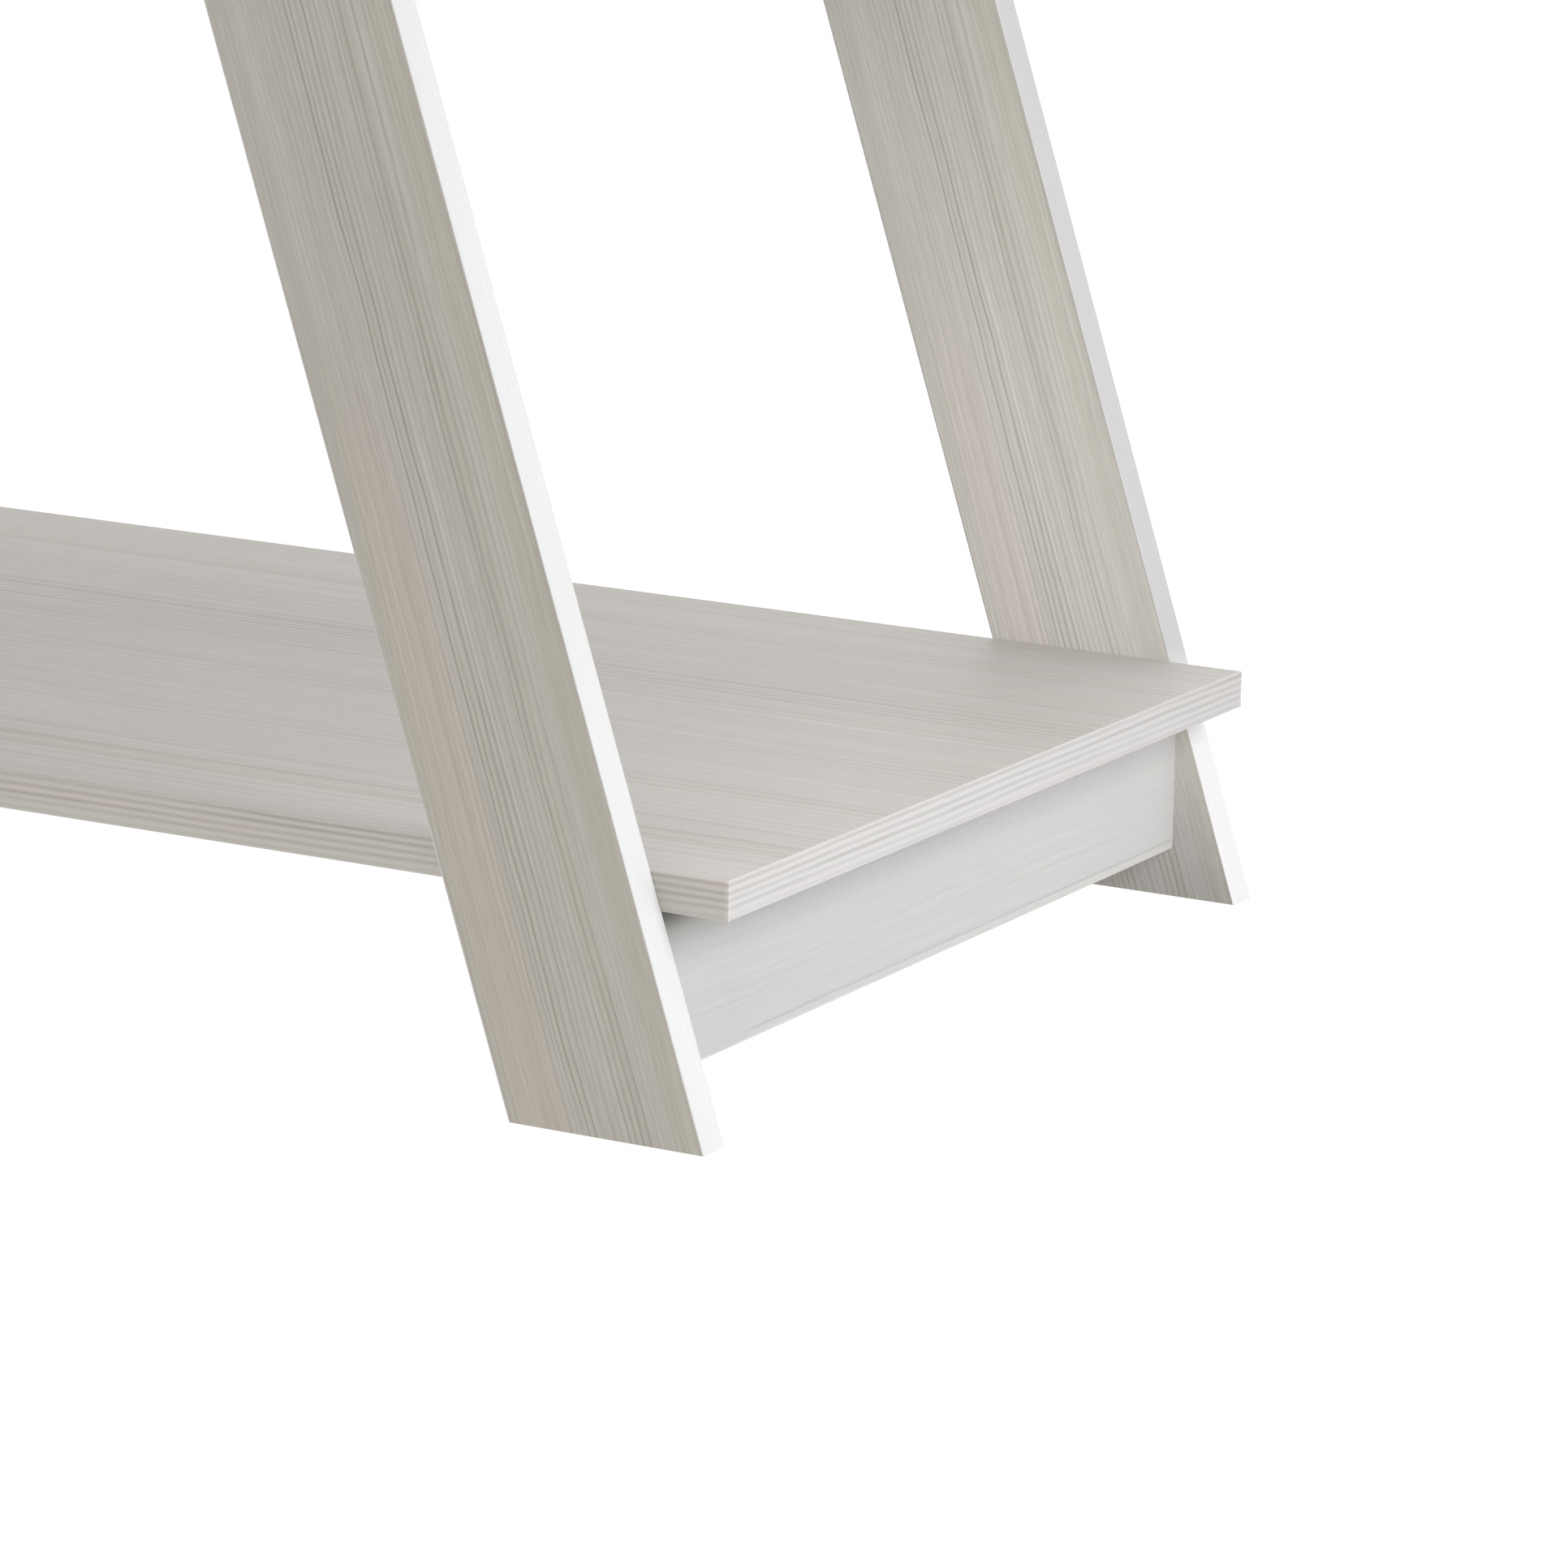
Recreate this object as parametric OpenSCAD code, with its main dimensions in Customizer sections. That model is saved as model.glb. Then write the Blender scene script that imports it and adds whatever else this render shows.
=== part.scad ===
// Ladder shelf: a free-standing open shelving unit of A shape.
// A front pair and a rear pair of leaning legs hold four shelves, each shorter than the one below it. Under each
// shelf end a cross rail joins the front leg to the rear leg, like the rung of a ladder. Every piece is 18 mm
// melamine-faced board with a thin plastic edging, and the joints are hidden cam locks and wooden dowels.
// Millimetres. X runs along the shelves, Y from the front to the rear, Z up.
// Origin: the middle of the footprint, on the floor.

/* [Boards] */
// Thickness of every board, edging left out
board_t = 18; // [17:0.5:22]
// Thickness of the plastic edging on the boards' cut edges
edging_t = 1; // [0.6:0.1:2]

/* [Shelves] */
// Length of the lowest shelf, which is the width of the whole unit
shelf_len = 1312; // [1300:4:1600]
// Depth of every shelf, from the front legs' inner face to the rear legs' inner face
shelf_d = 500; // [420:10:600]
// Height of one tier, from one shelf's top to the next one's
tier_pitch = 460; // [440:5:520]
// How much each end of a shelf steps in from the end of the shelf below it
step_x = 152; // [120:2:152]
// Clear height under the lowest shelf
clear_h = 100; // [90:1:110]

/* [Legs] */
// Width of a leg, measured level along X
leg_w = 99; // [92:1:104]

/* [Cross rails] */
// Height of a cross rail, from its lower edge to the shelf that it carries
rail_h = 76; // [62:1:80]
// Distance from a shelf's end in to the outer face of its cross rail
rail_inset = 35; // [34:1:44]

/* [Joints] */
// Diameter of the wooden dowels' holes
dowel_hole_d = 8; // [8:1:8]
// Length of a wooden dowel
dowel_len = 30; // [26:1:34]
// Length of a dowel's part that sits in a board's face
dowel_face = 12; // [10:1:12]
// Diameter of a cam lock's pocket
cam_d = 15; // [15:1:15]
// Distance from a board's end to the middle of its cam lock
cam_back = 24; // [24:1:34]
// Distance between a cam lock's bolt and the dowel on either side of it
dowel_gap = 22; // [20:1:23]

/* [Hidden] */

$fn = 48;
eps = 0.5;                    // how far a cutter stands out of the face that it cuts
gap = 0.1;                    // open mitre between two strips of edging, and play of a fastener
front = -1;
rear = 1;
left = -1;
right = 1;
ENDS = [left, right];
FACES = [front, rear];

k = step_x / tier_pitch;      // how far a leg leans in for each millimetre of height
lean = atan(k);
top_z = clear_h + 3 * tier_pitch + board_t;
edging_x = edging_t / cos(lean); // edging measured level across a leaning edge

dowel_d = dowel_hole_d - gap;
bolt_hole_d = 6.1;
cam_depth = board_t / 2 + dowel_hole_d / 2 + 0.5; // a cam lock's pocket, just deeper than the bolt's hole that meets it
cam_h = cam_depth - 0.5;
bolt_thread = 11;             // length of a cam bolt's threaded end
key_play = 0.5;               // room beyond the end of a dowel or bolt in its hole

// where a tier's pieces lie
function half_len(i) = shelf_len / 2 - i * step_x;
function under_z(i) = clear_h + i * tier_pitch;
function rail_x(i) = half_len(i) - rail_inset - board_t / 2;
function leg_outer_x(z) = shelf_len / 2 - k * z;
function leg_mid_x(z) = leg_outer_x(z) - leg_w / 2;

// joints on the inner face of one leg, as [x, z]: the cam bolts, then the dowels
function rail_bolt(i, s) = [s * rail_x(i), under_z(i) - rail_h / 2];
function shelf_bolt(i, s) = [s * leg_mid_x(under_z(i) + board_t / 2), under_z(i) + board_t / 2];
function rail_dowels(i, s) = [for (h = [-dowel_gap, dowel_gap]) rail_bolt(i, s) + [0, h]];
function shelf_keys(i, s) = [for (h = [-dowel_gap, dowel_gap]) shelf_bolt(i, s) + [h, 0]];
// dowels that stand in a rail's top edge and key the shelf, as y
function upright_ys() = [-0.32 * shelf_d, 0, 0.32 * shelf_d];

board_col = [0.75, 0.73, 0.69];
edging_col = [0.87, 0.86, 0.84];
zinc_col = [0.62, 0.63, 0.65];
steel_col = [0.80, 0.80, 0.82];
beech_col = [0.80, 0.64, 0.45];

// ---- shared shapes ----

// rod along Y from y0 to y1
module rod_y(p, y0, y1, d)
    translate([p[0], min(y0, y1), p[1]]) rotate([-90, 0, 0]) cylinder(h = abs(y1 - y0), d = d);

// places a shape drawn along +Z on the inner face of a leg, so that +Z runs from that leg into the unit
module on_face(p, f)
    translate([p[0], f * shelf_d / 2, p[1]]) rotate([f > 0 ? 90 : -90, 0, 0]) children();

// slab of a leaning leg between level offsets a and b from its outer edge, and between heights z0 and z1
module leg_slab(s, f, a, b, z0, z1)
    translate([0, f > 0 ? shelf_d / 2 + board_t : -shelf_d / 2, 0])
        rotate([90, 0, 0])
            linear_extrude(height = board_t)
                polygon([
                    [s * (leg_outer_x(z0) - a), z0], [s * (leg_outer_x(z0) - b), z0],
                    [s * (leg_outer_x(z1) - b), z1], [s * (leg_outer_x(z1) - a), z1]
                ]);

// board of one leg, bored on its inner face for the bolts and dowels of four tiers
module leg_board(s, f)
    color(board_col)
        difference() {
            leg_slab(s, f, edging_x, leg_w - edging_x, 0, top_z - edging_t);
            for (i = [0 : 3]) {
                for (p = [rail_bolt(i, s), shelf_bolt(i, s)])
                    rod_y(p, f * (shelf_d / 2 - eps), f * (shelf_d / 2 + bolt_thread + key_play), bolt_hole_d);
                for (p = concat(rail_dowels(i, s), shelf_keys(i, s)))
                    rod_y(p, f * (shelf_d / 2 - eps), f * (shelf_d / 2 + dowel_face + key_play), dowel_hole_d);
            }
        }

// edging of one leg: the outer strip, the inner strip and the strip on its top end
module leg_strips(s, f)
    color(edging_col) {
        leg_slab(s, f, 0, edging_x, 0, top_z);
        leg_slab(s, f, leg_w - edging_x, leg_w, 0, top_z);
        leg_slab(s, f, edging_x + gap, leg_w - edging_x - gap, top_z - edging_t, top_z);
    }

// board of one shelf: edge holes for its legs, cam pockets and rail dowel holes in the underside
module shelf_board(i)
    color(board_col)
        difference() {
            translate([-half_len(i) + edging_t, -shelf_d / 2 + edging_t, under_z(i)])
                cube([2 * (half_len(i) - edging_t), shelf_d - 2 * edging_t, board_t]);
            for (s = ENDS) {
                for (f = FACES) {
                    rod_y(shelf_bolt(i, s), f * shelf_d / 2, f * (shelf_d / 2 - cam_back), dowel_hole_d);
                    for (p = shelf_keys(i, s))
                        rod_y(p, f * shelf_d / 2, f * (shelf_d / 2 - dowel_len + dowel_face - key_play), dowel_hole_d);
                    translate([shelf_bolt(i, s)[0], f * (shelf_d / 2 - cam_back), under_z(i) - eps])
                        cylinder(h = cam_depth + eps, d = cam_d);
                }
                for (y = upright_ys())
                    translate([s * rail_x(i), y, under_z(i) - eps])
                        cylinder(h = dowel_face + key_play + eps, d = dowel_hole_d);
            }
        }

// edging of one shelf: the long front and rear strips, bored over the edge holes, and the two end strips
module shelf_strips(i)
    color(edging_col) {
        for (f = FACES)
            difference() {
                translate([-half_len(i), f > 0 ? shelf_d / 2 - edging_t : -shelf_d / 2, under_z(i)])
                    cube([2 * half_len(i), edging_t, board_t]);
                for (s = ENDS, p = concat([shelf_bolt(i, s)], shelf_keys(i, s)))
                    rod_y(p, f * (shelf_d / 2 + eps), f * (shelf_d / 2 - edging_t - eps), dowel_hole_d);
            }
        for (s = ENDS)
            translate([s > 0 ? half_len(i) - edging_t : -half_len(i), -shelf_d / 2 + edging_t + gap, under_z(i)])
                cube([edging_t, shelf_d - 2 * edging_t - 2 * gap, board_t]);
    }

// board of one cross rail: holes in both ends and in the top edge, cam pockets in the face towards the middle
module rail_board(i, s)
    color(board_col)
        difference() {
            translate([s * rail_x(i) - board_t / 2, -shelf_d / 2, under_z(i) - rail_h + edging_t])
                cube([board_t, shelf_d, rail_h - edging_t]);
            for (f = FACES) {
                rod_y(rail_bolt(i, s), f * (shelf_d / 2 + eps), f * (shelf_d / 2 - cam_back), dowel_hole_d);
                for (p = rail_dowels(i, s))
                    rod_y(p, f * (shelf_d / 2 + eps), f * (shelf_d / 2 - dowel_len + dowel_face - key_play), dowel_hole_d);
                translate([s * (rail_x(i) - board_t / 2 - eps), f * (shelf_d / 2 - cam_back), rail_bolt(i, s)[1]])
                    rotate([0, s * 90, 0])
                        cylinder(h = cam_depth + eps, d = cam_d);
            }
            for (y = upright_ys())
                translate([s * rail_x(i), y, under_z(i) - dowel_len + dowel_face - key_play])
                    cylinder(h = dowel_len - dowel_face + key_play + eps, d = dowel_hole_d);
        }

// strip of edging under a tier's two cross rails
module rail_strips(i)
    color(edging_col)
        for (s = ENDS)
            translate([s * rail_x(i) - board_t / 2, -shelf_d / 2, under_z(i) - rail_h])
                cube([board_t, shelf_d, edging_t]);

// wooden dowel along +Z from its lower end, with bevelled ends
module dowel()
    rotate_extrude()
        polygon([
            [0, 0], [dowel_d / 2 - 1, 0], [dowel_d / 2, 1],
            [dowel_d / 2, dowel_len - 1], [dowel_d / 2 - 1, dowel_len], [0, dowel_len]
        ]);

// cam bolt along +Z: threaded end below zero, collar at zero, stem, thin neck and round head in the cam
module cam_bolt()
    rotate_extrude()
        polygon([
            [0, -bolt_thread], [2, -bolt_thread], [3, -bolt_thread + 1], [3, 0],
            [3.9, 0], [3.9, 3], [3, 3], [3, cam_back - 10], [2, cam_back - 9],
            [2, cam_back - 2.5], [3.4, cam_back - 1.5], [3.4, cam_back + 0.5], [2, cam_back + 2], [0, cam_back + 2]
        ]);

// cam lock, its axis along +Z from its inner end and its screwdriver cross in the face at the top.
// The bolt's head enters along -X, half a board's thickness below that face.
module cam_lock()
    translate([0, 0, -cam_h])
        difference() {
            cylinder(h = cam_h, d = cam_d - 2 * gap);
            translate([-cam_d, 0, cam_h - board_t / 2])
                rotate([0, 90, 0])
                    cylinder(h = cam_d + 2.7, d = 7.4);
            for (a = [45, 135])
                translate([0, 0, cam_h])
                    rotate([0, 0, a])
                        cube([8, 1.6, 4], center = true);
        }

// ---- one tier's fasteners ----

module tier_cam_locks(i)
    color(zinc_col)
        for (s = ENDS, f = FACES) {
            // in the shelf's underside
            translate([shelf_bolt(i, s)[0], f * (shelf_d / 2 - cam_back), under_z(i)])
                rotate([0, 180, 0])
                    rotate([0, 0, f > 0 ? -90 : 90])
                        cam_lock();
            // in the rail's face towards the middle
            translate([s * (rail_x(i) - board_t / 2), f * (shelf_d / 2 - cam_back), rail_bolt(i, s)[1]])
                rotate([0, -s * 90, 0])
                    rotate([0, 0, f > 0 ? -90 : 90])
                        cam_lock();
        }

module tier_cam_bolts(i)
    color(steel_col)
        for (s = ENDS, f = FACES, p = [rail_bolt(i, s), shelf_bolt(i, s)])
            on_face(p, f) cam_bolt();

module tier_leg_dowels(i)
    color(beech_col)
        for (s = ENDS, f = FACES, p = concat(rail_dowels(i, s), shelf_keys(i, s)))
            on_face(p, f) translate([0, 0, -dowel_face]) dowel();

module tier_shelf_dowels(i)
    color(beech_col)
        for (s = ENDS, y = upright_ys())
            translate([s * rail_x(i), y, under_z(i) - dowel_len + dowel_face]) dowel();

// ---- legs ----

module front_left_leg() { color(board_col) leg_board(left, front); }
module front_right_leg() { color(board_col) leg_board(right, front); }
module rear_left_leg() { color(board_col) leg_board(left, rear); }
module rear_right_leg() { color(board_col) leg_board(right, rear); }
module front_left_leg_edging() { color(edging_col) leg_strips(left, front); }
module front_right_leg_edging() { color(edging_col) leg_strips(right, front); }
module rear_left_leg_edging() { color(edging_col) leg_strips(left, rear); }
module rear_right_leg_edging() { color(edging_col) leg_strips(right, rear); }

// ---- shelves ----

module bottom_shelf() { color(board_col) shelf_board(0); }
module lower_shelf() { color(board_col) shelf_board(1); }
module upper_shelf() { color(board_col) shelf_board(2); }
module top_shelf() { color(board_col) shelf_board(3); }
module bottom_shelf_edging() { color(edging_col) shelf_strips(0); }
module lower_shelf_edging() { color(edging_col) shelf_strips(1); }
module upper_shelf_edging() { color(edging_col) shelf_strips(2); }
module top_shelf_edging() { color(edging_col) shelf_strips(3); }

// ---- cross rails ----

module bottom_left_rail() { color(board_col) rail_board(0, left); }
module bottom_right_rail() { color(board_col) rail_board(0, right); }
module lower_left_rail() { color(board_col) rail_board(1, left); }
module lower_right_rail() { color(board_col) rail_board(1, right); }
module upper_left_rail() { color(board_col) rail_board(2, left); }
module upper_right_rail() { color(board_col) rail_board(2, right); }
module top_left_rail() { color(board_col) rail_board(3, left); }
module top_right_rail() { color(board_col) rail_board(3, right); }
module bottom_rail_edging() { color(edging_col) rail_strips(0); }
module lower_rail_edging() { color(edging_col) rail_strips(1); }
module upper_rail_edging() { color(edging_col) rail_strips(2); }
module top_rail_edging() { color(edging_col) rail_strips(3); }

// ---- fasteners ----

module bottom_cam_locks() { color(zinc_col) tier_cam_locks(0); }
module lower_cam_locks() { color(zinc_col) tier_cam_locks(1); }
module upper_cam_locks() { color(zinc_col) tier_cam_locks(2); }
module top_cam_locks() { color(zinc_col) tier_cam_locks(3); }
module bottom_cam_bolts() { color(steel_col) tier_cam_bolts(0); }
module lower_cam_bolts() { color(steel_col) tier_cam_bolts(1); }
module upper_cam_bolts() { color(steel_col) tier_cam_bolts(2); }
module top_cam_bolts() { color(steel_col) tier_cam_bolts(3); }
module bottom_leg_dowels() { color(beech_col) tier_leg_dowels(0); }
module lower_leg_dowels() { color(beech_col) tier_leg_dowels(1); }
module upper_leg_dowels() { color(beech_col) tier_leg_dowels(2); }
module top_leg_dowels() { color(beech_col) tier_leg_dowels(3); }
module bottom_shelf_dowels() { color(beech_col) tier_shelf_dowels(0); }
module lower_shelf_dowels() { color(beech_col) tier_shelf_dowels(1); }
module upper_shelf_dowels() { color(beech_col) tier_shelf_dowels(2); }
module top_shelf_dowels() { color(beech_col) tier_shelf_dowels(3); }

front_left_leg();
front_right_leg();
rear_left_leg();
rear_right_leg();
front_left_leg_edging();
front_right_leg_edging();
rear_left_leg_edging();
rear_right_leg_edging();
bottom_shelf();
lower_shelf();
upper_shelf();
top_shelf();
bottom_shelf_edging();
lower_shelf_edging();
upper_shelf_edging();
top_shelf_edging();
bottom_left_rail();
bottom_right_rail();
lower_left_rail();
lower_right_rail();
upper_left_rail();
upper_right_rail();
top_left_rail();
top_right_rail();
bottom_rail_edging();
lower_rail_edging();
upper_rail_edging();
top_rail_edging();
bottom_cam_locks();
lower_cam_locks();
upper_cam_locks();
top_cam_locks();
bottom_cam_bolts();
lower_cam_bolts();
upper_cam_bolts();
top_cam_bolts();
bottom_leg_dowels();
lower_leg_dowels();
upper_leg_dowels();
top_leg_dowels();
bottom_shelf_dowels();
lower_shelf_dowels();
upper_shelf_dowels();
top_shelf_dowels();
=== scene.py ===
import math

import bpy
import numpy as np
from mathutils import Matrix, Vector


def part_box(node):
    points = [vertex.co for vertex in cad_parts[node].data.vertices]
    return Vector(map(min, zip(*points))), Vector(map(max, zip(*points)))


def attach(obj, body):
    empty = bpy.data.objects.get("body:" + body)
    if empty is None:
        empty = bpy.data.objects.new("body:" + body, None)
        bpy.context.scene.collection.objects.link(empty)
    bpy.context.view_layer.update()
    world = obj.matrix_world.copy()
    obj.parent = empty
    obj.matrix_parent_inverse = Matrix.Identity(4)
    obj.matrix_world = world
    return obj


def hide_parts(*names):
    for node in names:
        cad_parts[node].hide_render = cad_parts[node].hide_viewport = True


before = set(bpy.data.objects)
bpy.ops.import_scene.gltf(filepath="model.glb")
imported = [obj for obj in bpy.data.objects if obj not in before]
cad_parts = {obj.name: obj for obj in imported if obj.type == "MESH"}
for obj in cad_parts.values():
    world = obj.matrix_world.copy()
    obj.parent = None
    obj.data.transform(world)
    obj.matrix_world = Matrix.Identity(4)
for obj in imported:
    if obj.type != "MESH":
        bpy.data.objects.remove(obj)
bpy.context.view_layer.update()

scene = bpy.context.scene
MM = 0.001

TIERS = ("bottom", "lower", "upper", "top")
LEGS = ("front_left_leg", "front_right_leg", "rear_left_leg", "rear_right_leg")

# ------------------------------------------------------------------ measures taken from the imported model


def foot_and_head(node):
    """X range of a leg at the floor and at its top, and the height of its top."""
    co = np.array([v.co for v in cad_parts[node].data.vertices])
    top = co[:, 2].max()
    foot = co[co[:, 2] < 1e-5][:, 0]
    head = co[co[:, 2] > top - 1e-5][:, 0]
    return foot.min(), foot.max(), head.min(), head.max(), top


foot_lo, foot_hi, head_lo, head_hi, TOP_Z = foot_and_head("front_right_leg_edging")
LEAN = (foot_hi - head_hi) / TOP_Z            # level run of a leg for each metre of height
LEG_W = foot_hi - foot_lo
HALF = foot_hi
ANGLE = math.atan(LEAN)
e_lo, e_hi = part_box("bottom_rail_edging")
EDGE = e_hi.z - e_lo.z                        # thickness of the edging
s_lo, s_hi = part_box("bottom_shelf_edging")
DEPTH = s_hi.y - s_lo.y
BOARD = s_hi.z - s_lo.z
SHELF_Z = s_lo.z                              # underside of the lowest shelf
RAIL_Z = e_lo.z                               # underside of the lowest rails
RAIL_H = s_lo.z - e_lo.z
PITCH_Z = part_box("lower_rail_edging")[0].z - RAIL_Z

# ------------------------------------------------------------------ camera, floor and light

YAW, PITCH, ROLL = math.radians(29.399), math.radians(13.383), math.radians(0.891)
r = Vector((math.cos(YAW), math.sin(YAW), 0))
f = Vector((-math.sin(YAW) * math.cos(PITCH), math.cos(YAW) * math.cos(PITCH), -math.sin(PITCH)))
u = r.cross(f)
right = r * math.cos(ROLL) + u * math.sin(ROLL)
up = u * math.cos(ROLL) - r * math.sin(ROLL)
cam_data = bpy.data.cameras.new("camera")
cam_data.sensor_width = 36
cam_data.lens = 162.02
cam_data.clip_end = 200
cam = bpy.data.objects.new("camera", cam_data)
scene.collection.objects.link(cam)
cam.matrix_world = Matrix((
    (right.x, up.x, -f.x, 2.1132),
    (right.y, up.y, -f.y, -2.7895),
    (right.z, up.z, -f.z, 0.8580),
    (0, 0, 0, 1)))
scene.camera = cam
scene.view_settings.view_transform = "Standard"
scene.view_settings.look = "None"


class Nodes:
    """Short calls that build a shader from nodes."""

    def __init__(self, tree):
        self.tree = tree
        tree.nodes.clear()

    def add(self, kind, **props):
        n = self.tree.nodes.new(kind)
        for k, v in props.items():
            setattr(n, k, v)
        return n

    def put(self, socket, value):
        if isinstance(value, bpy.types.NodeSocket):
            self.tree.links.new(value, socket)
        else:
            socket.default_value = value

    def math(self, op, a, b=0.0, c=None, clamp=False):
        n = self.add("ShaderNodeMath", operation=op, use_clamp=clamp)
        self.put(n.inputs[0], a)
        self.put(n.inputs[1], b)
        if c is not None:
            self.put(n.inputs[2], c)
        return n.outputs[0]

    def vector(self, x, y=0.0, z=0.0):
        n = self.add("ShaderNodeCombineXYZ")
        for s, v in zip(n.inputs, (x, y, z)):
            self.put(s, v)
        return n.outputs[0]

    def split(self, v):
        n = self.add("ShaderNodeSeparateXYZ")
        self.put(n.inputs[0], v)
        return n.outputs

    def noise(self, v, scale=1.0, detail=2.0, rough=0.5, dims="2D"):
        n = self.add("ShaderNodeTexNoise", noise_dimensions=dims)
        self.put(n.inputs["Vector"], v)
        n.inputs["Scale"].default_value = scale
        n.inputs["Detail"].default_value = detail
        n.inputs["Roughness"].default_value = rough
        return n.outputs["Fac"]

    def ramp(self, x, lo, hi, to_lo=0.0, to_hi=1.0, smooth=True):
        n = self.add("ShaderNodeMapRange", interpolation_type="SMOOTHSTEP" if smooth else "LINEAR", clamp=True)
        self.put(n.inputs["Value"], x)
        for k, v in (("From Min", lo), ("From Max", hi), ("To Min", to_lo), ("To Max", to_hi)):
            n.inputs[k].default_value = v
        return n.outputs["Result"]

    def mix(self, fac, a, b, blend="MIX"):
        n = self.add("ShaderNodeMix", data_type="RGBA", blend_type=blend)
        n.clamp_factor = True
        self.put(n.inputs["Factor"], fac)
        self.put(n.inputs[6], a)
        self.put(n.inputs[7], b)
        return n.outputs[2]

    def gain(self, colour, factor):
        """Multiplies a colour by a number that varies over the surface."""
        n = self.add("ShaderNodeVectorMath", operation="SCALE")
        self.put(n.inputs[0], colour)
        self.put(n.inputs["Scale"], factor)
        return n.outputs[0]


def material(name):
    m = bpy.data.materials.new(name)
    m.use_nodes = True
    g = Nodes(m.node_tree)
    out = g.add("ShaderNodeOutputMaterial")
    bsdf = g.add("ShaderNodeBsdfPrincipled")
    m.node_tree.links.new(bsdf.outputs[0], out.inputs[0])
    return m, g, bsdf, out


def rgb(r_, g_, b_, k=1.0):
    return (r_ * k, g_ * k, b_ * k, 1.0)


# world: a white studio tent, brighter on the right
world = bpy.data.worlds.new("studio")
scene.world = world
world.use_nodes = True
g = Nodes(world.node_tree)
w_out = g.add("ShaderNodeOutputWorld")
back = g.add("ShaderNodeBackground")
world.node_tree.links.new(back.outputs[0], w_out.inputs[0])
direction = g.split(g.add("ShaderNodeTexCoord").outputs["Generated"])
SKY = ((1, 1, (0.12, 0.12, 0.12)),          # axis, sign, colour: right, left, rear, front, above, below
       (1, -1, (1.50, 1.50, 1.50)),
       (2, 1, (1.10, 1.10, 1.10)),
       (2, -1, (0.58, 0.56, 0.55)),
       (3, 1, (1.18, 1.17, 1.17)),
       (3, -1, (1.00, 1.00, 1.00)))
sky = None
for axis, sign, colour in SKY:
    w = g.math("MAXIMUM", g.math("MULTIPLY", direction[axis - 1], float(sign)), 0.0)
    part = g.gain(g.vector(*colour), g.math("MULTIPLY", w, w))
    if sky is None:
        sky = part
    else:
        n = g.add("ShaderNodeVectorMath", operation="ADD")
        g.put(n.inputs[0], sky)
        g.put(n.inputs[1], part)
        sky = n.outputs[0]
g.put(back.inputs["Color"], sky)
back.inputs["Strength"].default_value = 1.0

# floor: a plain white sweep that glows a little, as under a light tent
me = bpy.data.meshes.new("floor")
R = 40
me.from_pydata([(-R, -R, -0.0002), (R, -R, -0.0002), (R, R, -0.0002), (-R, R, -0.0002)], [], [(0, 1, 2, 3)])
floor = bpy.data.objects.new("floor", me)
scene.collection.objects.link(floor)
m, g, bsdf, out = material("floor_white")
bsdf.inputs["Base Color"].default_value = rgb(0.12, 0.12, 0.12)
bsdf.inputs["Roughness"].default_value = 0.9
bsdf.inputs["Specular IOR Level"].default_value = 0.1
bsdf.inputs["Emission Color"].default_value = rgb(1, 1, 1)
bsdf.inputs["Emission Strength"].default_value = 0.97
thru = g.add("ShaderNodeBsdfTransparent")
mixer = g.add("ShaderNodeMixShader")
g.put(mixer.inputs[0], g.add("ShaderNodeNewGeometry").outputs["Backfacing"])
m.node_tree.links.new(bsdf.outputs[0], mixer.inputs[1])
m.node_tree.links.new(thru.outputs[0], mixer.inputs[2])
m.node_tree.links.new(mixer.outputs[0], out.inputs[0])
me.materials.append(m)


def softbox(name, at, target, size, power, colour):
    light = bpy.data.lights.new(name, "AREA")
    light.shape = "RECTANGLE"
    light.size, light.size_y = size
    light.energy = power
    light.color = colour
    ob = bpy.data.objects.new(name, light)
    scene.collection.objects.link(ob)
    ob.location = at
    ob.rotation_mode = "QUATERNION"
    ob.rotation_quaternion = (Vector(target) - Vector(at)).to_track_quat("-Z", "Y")
    ob.visible_camera = False
    return ob


softbox("key_right", (1.55, -0.25, 0.62), (0.5, 0.2, 0.3), (0.45, 0.6), 13.2, (0.906, 0.947, 1.0))

# ------------------------------------------------------------------ whitewashed pine

GREY = (0.448, 0.427, 0.393)
OLIVE = (0.440, 0.419, 0.370)
LILAC = (0.459, 0.438, 0.416)
BLUSH = (0.462, 0.420, 0.376)


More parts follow.
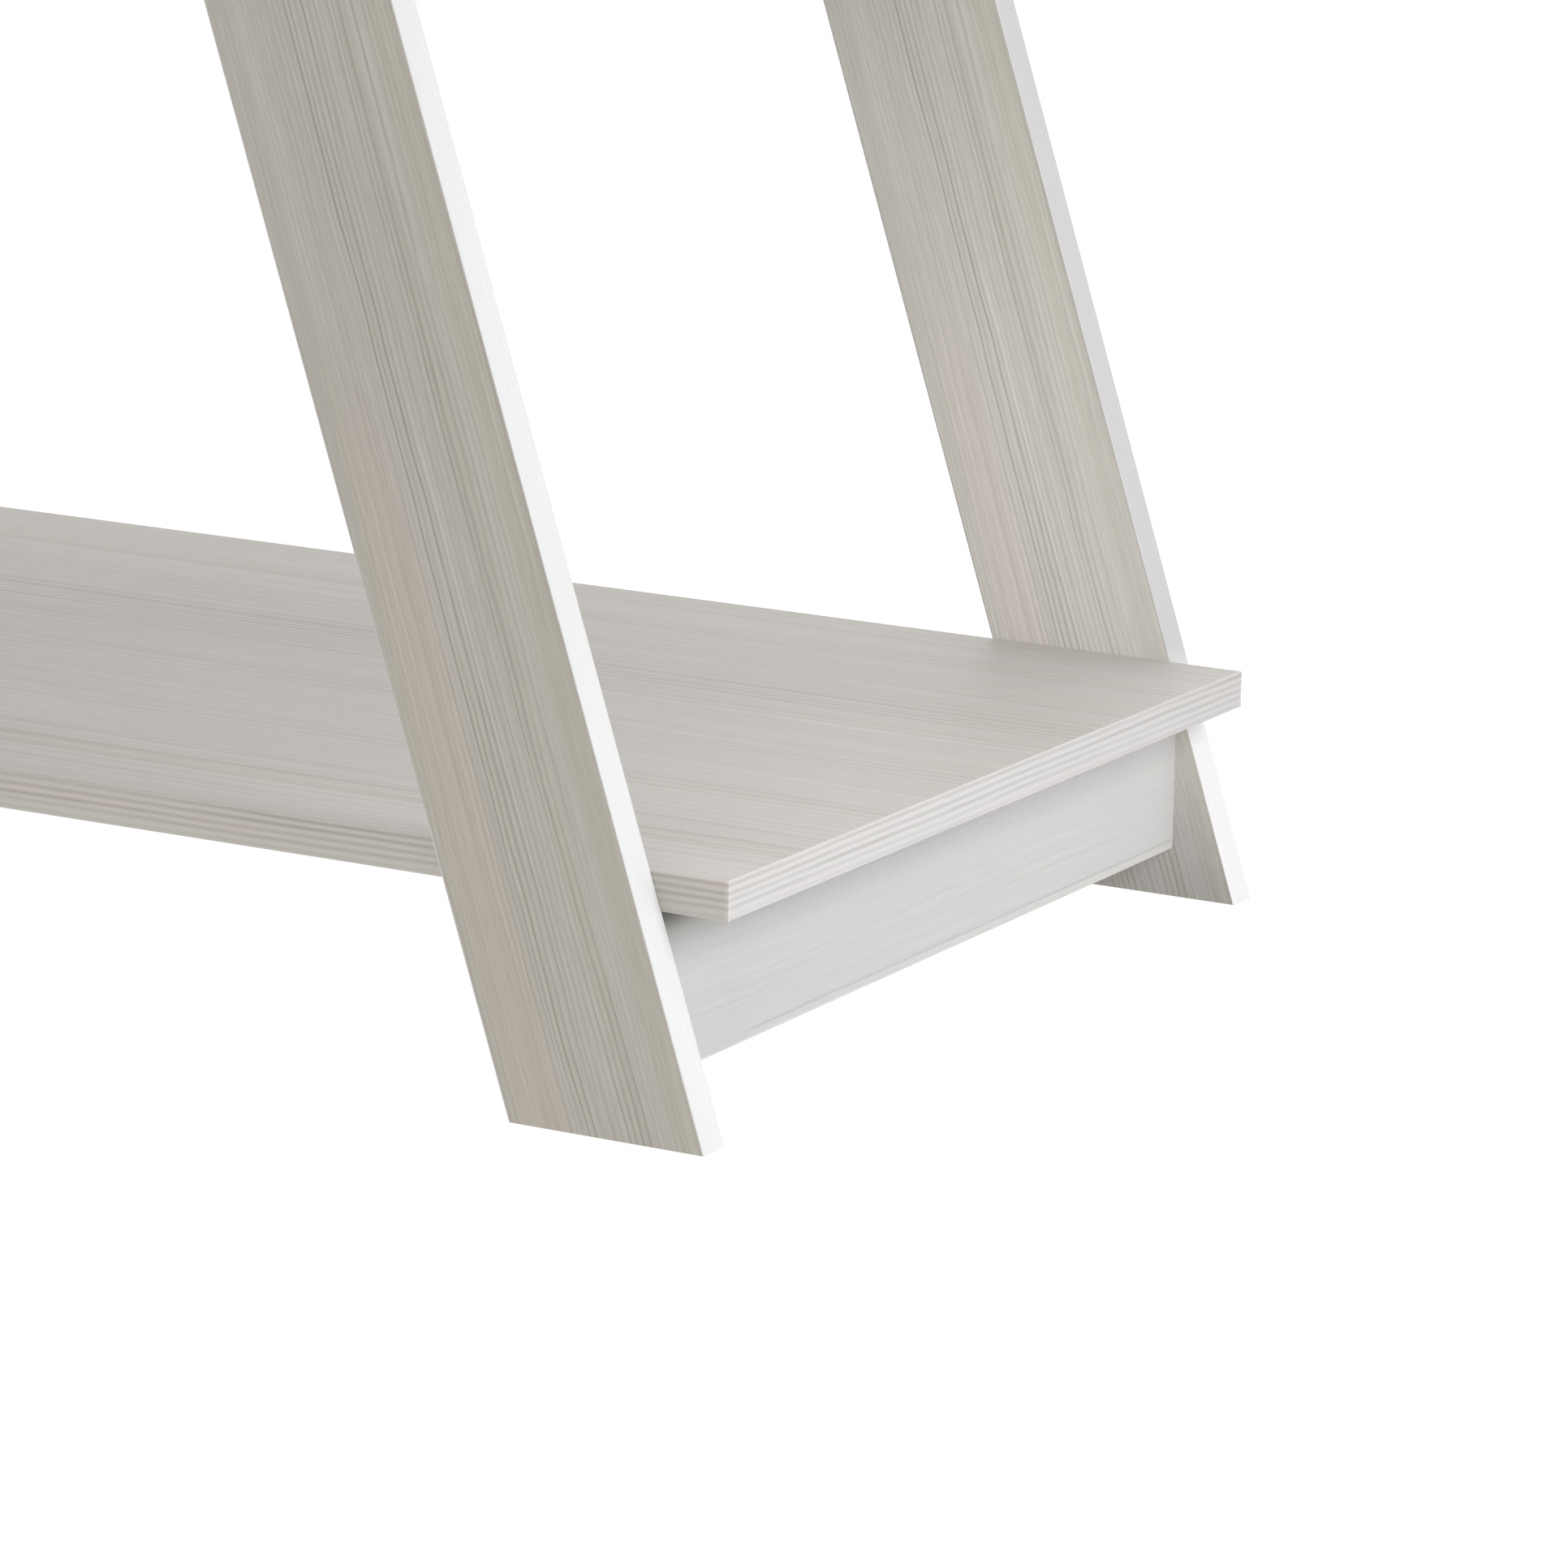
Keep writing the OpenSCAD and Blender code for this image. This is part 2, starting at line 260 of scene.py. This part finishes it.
def pine(g, along, across, seed=0.0, lines=1.0, tone=1.0, clusters=(), fine=1.0, pitch=0.0034, accents=(), extra=None):
    """Printed whitewashed pine. along and across are places in metres on the board. Returns the colour and a height."""
    a = g.math("ADD", along, seed * 3.7)
    # the growth lines wander slowly from side to side
    slow = g.noise(g.vector(g.math("MULTIPLY", a, 1.3), g.math("MULTIPLY", across, 6.0), seed), detail=1.0)
    quick = g.noise(g.vector(g.math("MULTIPLY", a, 16.0), g.math("MULTIPLY", across, 55.0), seed + 5.3), detail=1.0)
    v = g.math("ADD", across, g.math("MULTIPLY", g.math("SUBTRACT", slow, 0.5), 0.020))
    v = g.math("ADD", v, g.math("MULTIPLY", g.math("SUBTRACT", quick, 0.5), 0.0021))

    def streaks(per_metre, along_scale, shift, detail=1.0):
        n = g.noise(g.vector(g.math("MULTIPLY", a, along_scale), g.math("MULTIPLY", v, per_metre), seed + shift), detail=detail)
        return g.math("SUBTRACT", n, 0.5)

    # dark growth lines about 3 mm apart, closer and wider by turns
    crowd = g.noise(g.vector(g.math("MULTIPLY", a, 0.35), g.math("MULTIPLY", v, 45.0), seed + 1.7), detail=1.0)
    phase = g.math("ADD", g.math("MULTIPLY", v, 2 * math.pi / pitch), g.math("MULTIPLY", crowd, 13.0))
    dark = g.math("POWER", g.math("MULTIPLY_ADD", g.math("SINE", phase), 0.5, 0.5), 2.2)
    band = g.ramp(g.math("ADD", streaks(34.0, 0.5, 9.1, 2.0), 0.5), 0.40, 0.64, 0.30, 0.75)
    for centre, half, strength in clusters:
        d = g.math("ABSOLUTE", g.math("SUBTRACT", v, centre))
        band = g.math("ADD", band, g.ramp(d, half * 0.4, half, strength, 0.0))
    comes = g.math("ADD", streaks(300.0, 4.0, 3.3, 2.0), 0.5)
    line = g.math("MULTIPLY", dark, g.math("MULTIPLY", band, g.ramp(comes, 0.30, 0.62, 0.25, 1.2, smooth=False)))
    for centre, half, strength in accents:       # single lines that stand out
        d = g.math("ABSOLUTE", g.math("SUBTRACT", v, centre))
        weight = g.math("MULTIPLY", g.ramp(d, half * 0.3, half, strength, 0.0), g.ramp(comes, 0.30, 0.55, 0.3, 1.0))
        line = g.math("MAXIMUM", line, weight)
    # finer and finer streaks, and fibres
    broad, mid, thin = streaks(95.0, 0.9, 12.4), streaks(330.0, 2.2, 14.9), streaks(820.0, 6.0, 17.3)
    fibre = streaks(1900.0, 45.0, 7.7, 2.0)
    cloud = g.math("SUBTRACT", g.noise(g.vector(g.math("MULTIPLY", a, 5.0), g.math("MULTIPLY", v, 13.0), seed + 6.6), detail=3.0), 0.5)
    value = g.math("MULTIPLY_ADD", cloud, 0.09 * tone, 1.0)
    for part, k in ((broad, 0.08 * lines), (mid, 0.17 * lines), (thin, 0.20 * fine), (fibre, 0.22 * fine)):
        value = g.math("ADD", value, g.math("MULTIPLY", part, k))
    value = g.math("MULTIPLY", value, g.math("MULTIPLY_ADD", line, -0.16 * lines, 1.0 + 0.035 * lines))
    # tones: olive and grey-lilac streaks, with a blush here and there
    t1 = g.math("ADD", streaks(60.0, 0.8, 2.2, 2.0), g.math("MULTIPLY", mid, 0.5))
    t2 = g.math("ADD", streaks(45.0, 1.0, 21.5, 2.0), g.math("MULTIPLY", thin, 0.5))
    t3 = g.noise(g.vector(g.math("MULTIPLY", a, 3.6), g.math("MULTIPLY", v, 17.0), seed + 4.4), detail=2.0)
    colour = g.mix(g.ramp(t1, -0.12, 0.14, 0.0, 0.75 * tone), rgb(*GREY), rgb(*OLIVE))
    colour = g.mix(g.ramp(t2, 0.0, 0.16, 0.0, 0.48 * tone), colour, rgb(*LILAC))
    colour = g.mix(g.ramp(t3, 0.56, 0.74, 0.0, 0.10 * tone), colour, rgb(*BLUSH))
    if extra is not None:                        # places with an olive or blushing tone of their own
        for weight, tint in extra(v):
            colour = g.mix(weight, colour, tint)
    colour = g.mix(g.math("MULTIPLY", line, 0.5 * lines), colour, rgb(0.415, 0.385, 0.318))
    height = g.math("MULTIPLY_ADD", line, -0.7, g.math("MULTIPLY", g.math("ADD", thin, fibre), 0.6))
    return g.gain(colour, value), height


def coords(g):
    return g.split(g.add("ShaderNodeTexCoord").outputs["Object"])


def leg_axes(g, side, flip=1.0):
    """(along, across) on a leg: along rises with the leg, across runs inwards from its outer edge."""
    x, y, z = coords(g)
    x = g.math("MULTIPLY", x, side)
    along = g.math("SUBTRACT", g.math("MULTIPLY", z, math.cos(ANGLE)), g.math("MULTIPLY", x, math.sin(ANGLE)))
    outward = g.math("ADD", g.math("MULTIPLY", x, math.cos(ANGLE)), g.math("MULTIPLY", z, math.sin(ANGLE)))
    across = g.math("SUBTRACT", HALF * math.cos(ANGLE), outward)
    return along, across, y


def finish_board(m, g, bsdf, colour, height, rough=0.46, bump=0.35):
    g.put(bsdf.inputs["Base Color"], colour)
    g.put(bsdf.inputs["Roughness"], g.ramp(height, -0.6, 0.5, rough + 0.10, rough - 0.04, smooth=False))
    bsdf.inputs["Specular IOR Level"].default_value = 0.35
    b = g.add("ShaderNodeBump")
    b.inputs["Strength"].default_value = bump
    b.inputs["Distance"].default_value = 0.0001
    g.put(b.inputs["Height"], height)
    m.node_tree.links.new(b.outputs[0], bsdf.inputs["Normal"])


def raw_board(g, colour, height, faced):
    """Where faced is 0 the board is cut: plain chipboard shows, as in the holes and at a leg's foot."""
    x = g.add("ShaderNodeTexCoord").outputs["Object"]
    chips = g.add("ShaderNodeTexVoronoi", feature="F1")
    g.put(chips.inputs["Vector"], x)
    chips.inputs["Scale"].default_value = 620
    grain = g.noise(x, scale=900, detail=3, dims="3D")
    chip = g.mix(grain, rgb(0.30, 0.20, 0.11), rgb(0.55, 0.42, 0.27))
    chip = g.mix(g.math("MULTIPLY", chips.outputs["Distance"], 0.8), chip, rgb(0.62, 0.50, 0.34))
    return g.mix(faced, chip, colour), g.math("MULTIPLY", height, faced)


def board_material(name, kind, side=1, seed=0.0, rear=False):
    m, g, bsdf, _ = material(name)
    normal = g.add("ShaderNodeTexCoord").outputs["Normal"]
    nx, ny, nz = g.split(normal)
    x, y, z = coords(g)
    if kind == "leg":
        along, across, _ = leg_axes(g, side)

        def patches(v):
            outer = g.ramp(v, 0.008, 0.020, 0.6, 0.0)
            inner = g.math("MULTIPLY", g.ramp(g.math("ABSOLUTE", g.math("SUBTRACT", v, 0.074)), 0.006, 0.020, 0.30 if rear else 0.5, 0.0),
                           g.ramp(along, 0.06, 0.22, 1.0, 0.0))
            return ((outer, rgb(0.425, 0.405, 0.350)), (inner, rgb(0.465, 0.412, 0.362)))

        colour, height = pine(g, along, across, seed, pitch=0.0030, lines=1.12, fine=1.12, clusters=((0.053, 0.011, 0.95), (0.034, 0.014, 0.35)), extra=patches)
        if rear:      # painted light and shade on the rear legs' front faces: painted shade at the foot, painted light just above the lowest shelf that turns to painted shade higher up; the blue lessens upwards and the board darkens a little towards its outer edge
            painted_shade_by_floor = g.ramp(z, 0.0, 0.085, 0.66, 1.13)
            painted_light_and_shade_above_shelf = g.math("ADD", g.ramp(z, 0.097, 0.118, 0.0, 0.16), g.ramp(z, 0.13, 0.62, 0.0, -0.44, smooth=False))
            front = g.ramp(g.math("MULTIPLY", ny, -1.0), 0.0, 0.5)
            colour = g.gain(colour, g.math("MULTIPLY_ADD", g.math("ADD", g.math("SUBTRACT", painted_shade_by_floor, 1.0), painted_light_and_shade_above_shelf), front, 1.0))
            c = g.add("ShaderNodeVectorMath", operation="MULTIPLY")
            g.put(c.inputs[0], colour)
            g.put(c.inputs[1], g.vector(1.0, 1.0, g.ramp(z, 0.13, 0.62, 1.012, 0.965, smooth=False)))
            colour = g.gain(c.outputs[0], g.ramp(across, 0.0, 0.040, 0.955, 1.008))
        else:
            c = g.add("ShaderNodeVectorMath", operation="MULTIPLY")
            g.put(c.inputs[0], colour)
            c.inputs[1].default_value = (0.925, 0.918, 0.900)
            colour = c.outputs[0]
        face = ny
    elif kind == "shelf":
        back = DEPTH / 2
        marks = ((back - 0.157, 0.0026, 1.2), (back - 0.150, 0.0018, 0.9), (back - 0.206, 0.0022, 0.8), (back - 0.065, 0.0018, 0.7),
                 (back - 0.412, 0.0020, 1.0), (back - 0.434, 0.0026, 1.2), (back - 0.446, 0.0018, 1.0), (back - 0.467, 0.0018, 0.9))
        colour, height = pine(g, x, y, seed, lines=0.66, tone=0.8, fine=0.38, pitch=0.0060, accents=marks,
                              clusters=((back - 0.165, 0.030, 0.55), (back - 0.43, 0.035, 0.5)))
        # painted light: the shelf's top is painted lighter towards its middle than at its ends
        colour = g.gain(colour, g.ramp(g.math("ABSOLUTE", x), 0.0, 0.58, 1.09, 1.0, smooth=False))
        c = g.add("ShaderNodeVectorMath", operation="MULTIPLY")
        g.put(c.inputs[0], colour)
        c.inputs[1].default_value = (1.0, 0.999, 1.022)
        colour = c.outputs[0]
        face = nz
    else:
        colour, height = pine(g, y, z, seed, lines=0.13, tone=0.45, fine=0.42, pitch=0.0052)
        bottom = g.math("FRACT", g.math("DIVIDE", g.math("SUBTRACT", z, RAIL_Z), PITCH_Z))     # 0 at the bottom of a rail
        up_rail = g.math("MULTIPLY", bottom, PITCH_Z)
        wave = g.math("MULTIPLY", g.math("SUBTRACT", g.noise(g.vector(g.math("MULTIPLY", y, 14.0), seed), detail=2.0), 0.5), 0.0012)
        seam = g.math("ABSOLUTE", g.math("SUBTRACT", g.math("ADD", up_rail, wave), 0.0046))
        begins = g.ramp(y, -0.175, -0.160, 0.0, 1.0)
        dim = g.math("MULTIPLY", g.ramp(seam, 0.0003, 0.0010, 0.13, 0.0), begins)
        pale = g.math("MULTIPLY", g.ramp(up_rail, 0.0032, 0.0044, 0.045, 0.0), begins)
        # painted shade: the rail is painted dark in the corner under the shelf, against the leg
        top_gap = g.math("SUBTRACT", RAIL_H, up_rail)
        end_gap = g.math("SUBTRACT", DEPTH / 2, g.math("ABSOLUTE", y))
        painted_corner_shade = g.math("MULTIPLY", g.ramp(top_gap, 0.001, 0.012, 0.80, 0.0), g.ramp(end_gap, 0.012, 0.046))
        painted_corner_shade = g.math("SUBTRACT", g.ramp(top_gap, 0.001, 0.012, 0.80, 0.0), painted_corner_shade)
        # painted light: the rail is painted lighter near the legs, below its top edge
        painted_light_near_legs = g.math("MULTIPLY", g.ramp(end_gap, 0.0, 0.070, 0.07, 0.0), g.ramp(top_gap, 0.008, 0.018))
        c = g.add("ShaderNodeVectorMath", operation="MULTIPLY")
        g.put(c.inputs[0], g.gain(colour, g.math("SUBTRACT", g.math("ADD", g.math("ADD", 1.0, pale), painted_light_near_legs), g.math("ADD", dim, painted_corner_shade))))
        c.inputs[1].default_value = (0.940, 0.956, 1.002)
        colour = g.gain(c.outputs[0], g.ramp(y, -DEPTH / 2, DEPTH / 2, 0.935, 1.068, smooth=False))
        face = nx
    faced = g.ramp(g.math("ABSOLUTE", face), 0.80, 0.95)
    colour, height = raw_board(g, colour, height, faced)
    finish_board(m, g, bsdf, colour, height)
    return m


def edge_material(name, kind, side=1, seed=0.0, rear=False, half=0.0):
    """Edging tape: the same print, with plain stripes along the strip."""
    m, g, bsdf, _ = material(name)
    x, y, z = coords(g)
    if kind == "shelf":
        along, across = g.math("ADD", x, y), g.math("FRACT", g.math("DIVIDE", g.math("SUBTRACT", z, SHELF_Z), PITCH_Z))
        across = g.math("MULTIPLY", across, PITCH_Z)          # 0 at the underside of any shelf
    elif kind == "leg":
        along, _, across = leg_axes(g, side)
    else:
        along, across = y, x
    a = g.math("ADD", along, seed)
    wander = g.noise(g.vector(g.math("MULTIPLY", a, 7.0), g.math("MULTIPLY", across, 70.0), seed), detail=2.0)
    v = g.math("ADD", across, g.math("MULTIPLY", g.math("SUBTRACT", wander, 0.5), 0.0018 if kind == "shelf" else 0.0026))
    pitch = 0.0036
    shift, sharp = (-math.pi / 2, 1.35) if kind == "shelf" else (seed * 5.0, 2.0)
    ring = g.math("POWER", g.math("MULTIPLY_ADD", g.math("SINE", g.math("MULTIPLY_ADD", v, 2 * math.pi / pitch, shift)), 0.5, 0.5), sharp)
    fade = g.noise(g.vector(g.math("MULTIPLY", a, 7.0), g.math("MULTIPLY", across, 240.0), seed + 3.1), detail=2.0)
    fibre = g.noise(g.vector(g.math("MULTIPLY", a, 45.0), g.math("MULTIPLY", across, 1900.0), seed + 8.0), detail=2.0)
    cloud = g.noise(g.vector(g.math("MULTIPLY", a, 4.0), g.math("MULTIPLY", across, 80.0), seed + 1.3), detail=2.0)
    line = g.math("MULTIPLY", ring, g.ramp(fade, 0.3, 0.65, 0.45, 1.0, smooth=False))
    if kind == "shelf":
        line = g.math("MULTIPLY", line, g.ramp(across, 0.002, 0.010, 0.45, 1.0))
        nx = g.math("ABSOLUTE", g.split(g.add("ShaderNodeTexCoord").outputs["Normal"])[0])
        ends = g.ramp(nx, 0.4, 0.9)
        base = g.mix(ends, rgb(0.450, 0.434, 0.394), rgb(0.430, 0.410, 0.399))
        tint = g.mix(ends, rgb(0.470, 0.428, 0.384), rgb(0.430, 0.404, 0.390))
        value = g.math("MULTIPLY_ADD", line, -0.29, 1.125)
        # painted shade: the strips on the shelf's ends are painted darker than those on its front and back
        value = g.math("MULTIPLY", value, g.math("MULTIPLY_ADD", ends, -0.09, 1.0))
        value = g.math("MULTIPLY", value, g.ramp(g.math("ABSOLUTE", x), 0.10, 0.50, 0.945, 1.0, smooth=False))
        # painted highlight: the strips are painted paler along the shelf's corners
        in_x = g.math("ABSOLUTE", g.math("SUBTRACT", half, g.math("ABSOLUTE", x)))
        in_y = g.math("ABSOLUTE", g.math("SUBTRACT", DEPTH / 2, g.math("ABSOLUTE", y)))
        corner = g.math("MAXIMUM", in_x, in_y)
        value = g.math("MULTIPLY", value, g.ramp(corner, 0.0009, 0.0022, 1.13, 1.0))
    elif kind == "leg":
        base, tint = (rgb(0.60, 0.582, 0.568), rgb(0.60, 0.572, 0.552)) if rear else (rgb(0.60, 0.588, 0.573), rgb(0.60, 0.584, 0.565))
        value = g.math("MULTIPLY_ADD", line, -0.012, 1.0)
        if not rear:
            value = g.math("MULTIPLY", value, g.ramp(g.math("ADD", y, DEPTH / 2 + BOARD), 0.003, 0.014, 0.985, 0.995))
        # painted light and shade: a rear leg's strip is painted pale below the lowest shelf and dark above it; a front
        # leg's strip is painted darker upwards
        value = g.math("MULTIPLY", value, g.ramp(z, 0.095, 0.13, 1.06, 0.73) if rear else g.ramp(z, 0.05, 0.25, 0.94, 0.85))
    else:
        base, tint = rgb(0.50, 0.485, 0.46), rgb(0.49, 0.47, 0.44)
        value = g.math("MULTIPLY_ADD", line, -0.12, 1.03)
    colour = g.mix(g.ramp(cloud, 0.46, 0.70, 0.0, 0.8), base, tint)
    colour = g.mix(g.math("MULTIPLY", line, 0.45 if kind == "shelf" else 0.05), colour, rgb(0.435, 0.408, 0.362))
    if kind == "shelf":       # the strip's own thickness takes the tone of the board's face
        nz = g.math("ABSOLUTE", g.split(g.add("ShaderNodeTexCoord").outputs["Normal"])[2])
        colour = g.mix(g.ramp(nz, 0.35, 0.85), colour, rgb(0.438, 0.419, 0.397))
    value = g.math("MULTIPLY", value, g.math("MULTIPLY_ADD", g.math("SUBTRACT", fibre, 0.5), 0.10, 1.0))
    height = g.math("MULTIPLY_ADD", line, -0.5, g.math("MULTIPLY", fibre, 0.3))
    finish_board(m, g, bsdf, g.gain(colour, value), height, rough=0.42, bump=0.25)
    return m


def metal_material(name, colour, rough):
    m, g, bsdf, _ = material(name)
    x = g.add("ShaderNodeTexCoord").outputs["Object"]
    blotch = g.noise(x, scale=260, detail=4, dims="3D")
    specks = g.noise(x, scale=2200, detail=2, dims="3D")
    c = g.mix(g.ramp(blotch, 0.35, 0.65, 0, 1), rgb(*colour), rgb(*colour, 0.78))
    g.put(bsdf.inputs["Base Color"], c)
    bsdf.inputs["Metallic"].default_value = 1.0
    g.put(bsdf.inputs["Roughness"], g.ramp(blotch, 0.3, 0.7, rough - 0.07, rough + 0.10, smooth=False))
    b = g.add("ShaderNodeBump")
    b.inputs["Strength"].default_value = 0.3
    b.inputs["Distance"].default_value = 0.00003
    g.put(b.inputs["Height"], specks)
    m.node_tree.links.new(b.outputs[0], bsdf.inputs["Normal"])
    return m


def beech_material():
    m, g, bsdf, _ = material("beech")
    x = g.add("ShaderNodeTexCoord").outputs["Object"]
    flecks = g.noise(x, scale=1400, detail=3, dims="3D")
    cloud = g.noise(x, scale=120, detail=2, dims="3D")
    c = g.mix(cloud, rgb(0.60, 0.40, 0.22), rgb(0.70, 0.51, 0.31))
    c = g.mix(g.ramp(flecks, 0.55, 0.7, 0, 0.6), c, rgb(0.40, 0.24, 0.12))
    g.put(bsdf.inputs["Base Color"], c)
    g.put(bsdf.inputs["Roughness"], g.ramp(flecks, 0.3, 0.7, 0.58, 0.74, smooth=False))
    b = g.add("ShaderNodeBump")
    b.inputs["Strength"].default_value = 0.3
    b.inputs["Distance"].default_value = 0.00005
    g.put(b.inputs["Height"], flecks)
    m.node_tree.links.new(b.outputs[0], bsdf.inputs["Normal"])
    return m


def dress(node, mat):
    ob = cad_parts[node]
    ob.data.materials.clear()
    ob.data.materials.append(mat)


for node in LEGS:
    dress(node, board_material("pine_" + node, "leg", 1 if "right" in node else -1, 0.4, "rear" in node))
for i, tier in enumerate(TIERS):
    dress(tier + "_shelf", board_material("pine_shelf_" + tier, "shelf", 1, 2.0 + i * 1.3))
    rail = board_material("pine_rails_" + tier, "rail", 1, 8.0 + i * 1.7)
    for side in ("left", "right"):
        dress(f"{tier}_{side}_rail", rail)

# ------------------------------------------------------------------ new pieces: edging strips; materials for the fasteners


def new_piece(name, parts, mats, node, smooth_deg=35):
    """One object from several closed shells. parts is a list of (points, faces)."""
    verts, faces, n = [], [], 0
    for p, q in parts:
        verts += [tuple(x) for x in p]
        faces += [tuple(k + n for k in face) for face in q]
        n += len(p)
    me = bpy.data.meshes.new(name)
    me.from_pydata(verts, [], faces)
    me.validate()
    me.update()
    for poly in me.polygons:
        poly.use_smooth = True
    me.set_sharp_from_angle(angle=math.radians(smooth_deg))
    me.materials.append(mats)
    ob = bpy.data.objects.new(name, me)
    scene.collection.objects.link(ob)
    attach(ob, "root")
    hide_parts(node)
    return ob


def loft(rings, close_ends=True):
    """Closed shell from rings with equal numbers of points. Faces point outwards if the rings turn
    anticlockwise seen from the far end; solid() below turns them if they don't."""
    k = len(rings[0])
    points = [p for ring in rings for p in ring]
    faces = []
    for i in range(len(rings) - 1):
        for j in range(k):
            a, b = i * k + j, i * k + (j + 1) % k
            faces.append((a, b, b + k, a + k))
    if close_ends:
        faces.append(tuple(reversed(range(k))))
        faces.append(tuple((len(rings) - 1) * k + j for j in range(k)))
    return solid(points, faces)


def solid(points, faces):
    """Turns the faces over if the shell's volume comes out negative."""
    p = np.array([tuple(x) for x in points])
    vol = 0.0
    for face in faces:
        for i in range(1, len(face) - 1):
            vol += np.dot(p[face[0]], np.cross(p[face[i]], p[face[i + 1]]))
    if vol < 0:
        faces = [tuple(reversed(x)) for x in faces]
    return points, faces


ROUND = 0.0008      # rounding of a strip's outer edges
SEAM = 0.00012      # bevel where a strip meets the board's face


def strip_profile(t, w):
    """Section of a strip t thick and w wide: (depth from the outer face, place across), outer corners rounded."""
    pts = [(t, SEAM), (t - SEAM, 0.0)]
    for i in range(7):
        a = math.pi / 2 * i / 6
        pts.append((ROUND - ROUND * math.sin(a), ROUND - ROUND * math.cos(a)))
    for i in range(7):
        a = math.pi / 2 * i / 6
        pts.append((ROUND - ROUND * math.cos(a), w - ROUND + ROUND * math.sin(a)))
    pts += [(t - SEAM, w), (t, w - SEAM)]
    return pts


def straight(profile, place, n):
    return loft([[place(i / n, d, c) for d, c in profile] for i in range(n + 1)])


def leg_strips(node, side, face):
    """Outer strip, inner strip and top strip of one leg's edging."""
    y0 = DEPTH / 2 if face > 0 else -DEPTH / 2 - BOARD
    ex = EDGE / math.cos(ANGLE)
    prof = strip_profile(ex, BOARD)
    n = 30

    def outer(t, d, c):
        z = t * TOP_Z
        return (side * (HALF - LEAN * z - d), y0 + c, z)

    def inner(t, d, c):
        z = t * TOP_Z
        return (side * (HALF - LEAN * z - LEG_W + d), y0 + c, z)

    def top(t, d, c):
        z = TOP_Z - d
        a = ex + 0.0001 + t * (LEG_W - 2 * ex - 0.0002)
        return (side * (HALF - LEAN * z - a), y0 + c, z)

    return [straight(prof, outer, n), straight(prof, inner, n), straight(strip_profile(EDGE, BOARD), top, 3)]


def shelf_strips(node):
    lo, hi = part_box(node)
    prof = strip_profile(EDGE, BOARD)
    parts = []
    for sign in (-1, 1):
        y = lo.y if sign < 0 else hi.y
        parts.append(straight(prof, lambda t, d, c: (lo.x + t * (hi.x - lo.x), y - sign * d, lo.z + c), 26))
    y0, y1 = lo.y + EDGE + 0.0001, hi.y - EDGE - 0.0001
    for sign in (-1, 1):
        x = lo.x if sign < 0 else hi.x
        parts.append(straight(prof, lambda t, d, c: (x - sign * d, y0 + t * (y1 - y0), lo.z + c), 10))
    return parts


def rail_strips(node):
    lo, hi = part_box(node)
    prof = strip_profile(EDGE, BOARD)
    parts = []
    for x in (lo.x, hi.x - BOARD):
        parts.append(straight(prof, lambda t, d, c: (x + c, lo.y + t * (hi.y - lo.y), lo.z + d), 10))
    return parts


edge_rail = edge_material("edging_rail", "rail", 1, 0.6)
for leg in LEGS:
    s, fc = (1 if "right" in leg else -1), (1 if "rear" in leg else -1)
    new_piece(leg + "_strips", leg_strips(leg + "_edging", s, fc),
              edge_material("edging_" + leg, "leg", s, 0.3, fc > 0), leg + "_edging")
for tier in TIERS:
    new_piece(tier + "_shelf_strips", shelf_strips(tier + "_shelf_edging"),
              edge_material("edging_" + tier + "_shelf", "shelf", 1, 0.15, half=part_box(tier + "_shelf_edging")[1].x), tier + "_shelf_edging")
    new_piece(tier + "_rail_strips", rail_strips(tier + "_rail_edging"), edge_rail, tier + "_rail_edging")

zinc = metal_material("die_cast_zinc", (0.48, 0.49, 0.51), 0.48)
steel = metal_material("zinc_plated_steel", (0.66, 0.66, 0.68), 0.30)
beech = beech_material()
for tier in TIERS:
    dress(tier + "_cam_locks", zinc)
    dress(tier + "_cam_bolts", steel)
    dress(tier + "_leg_dowels", beech)
    dress(tier + "_shelf_dowels", beech)
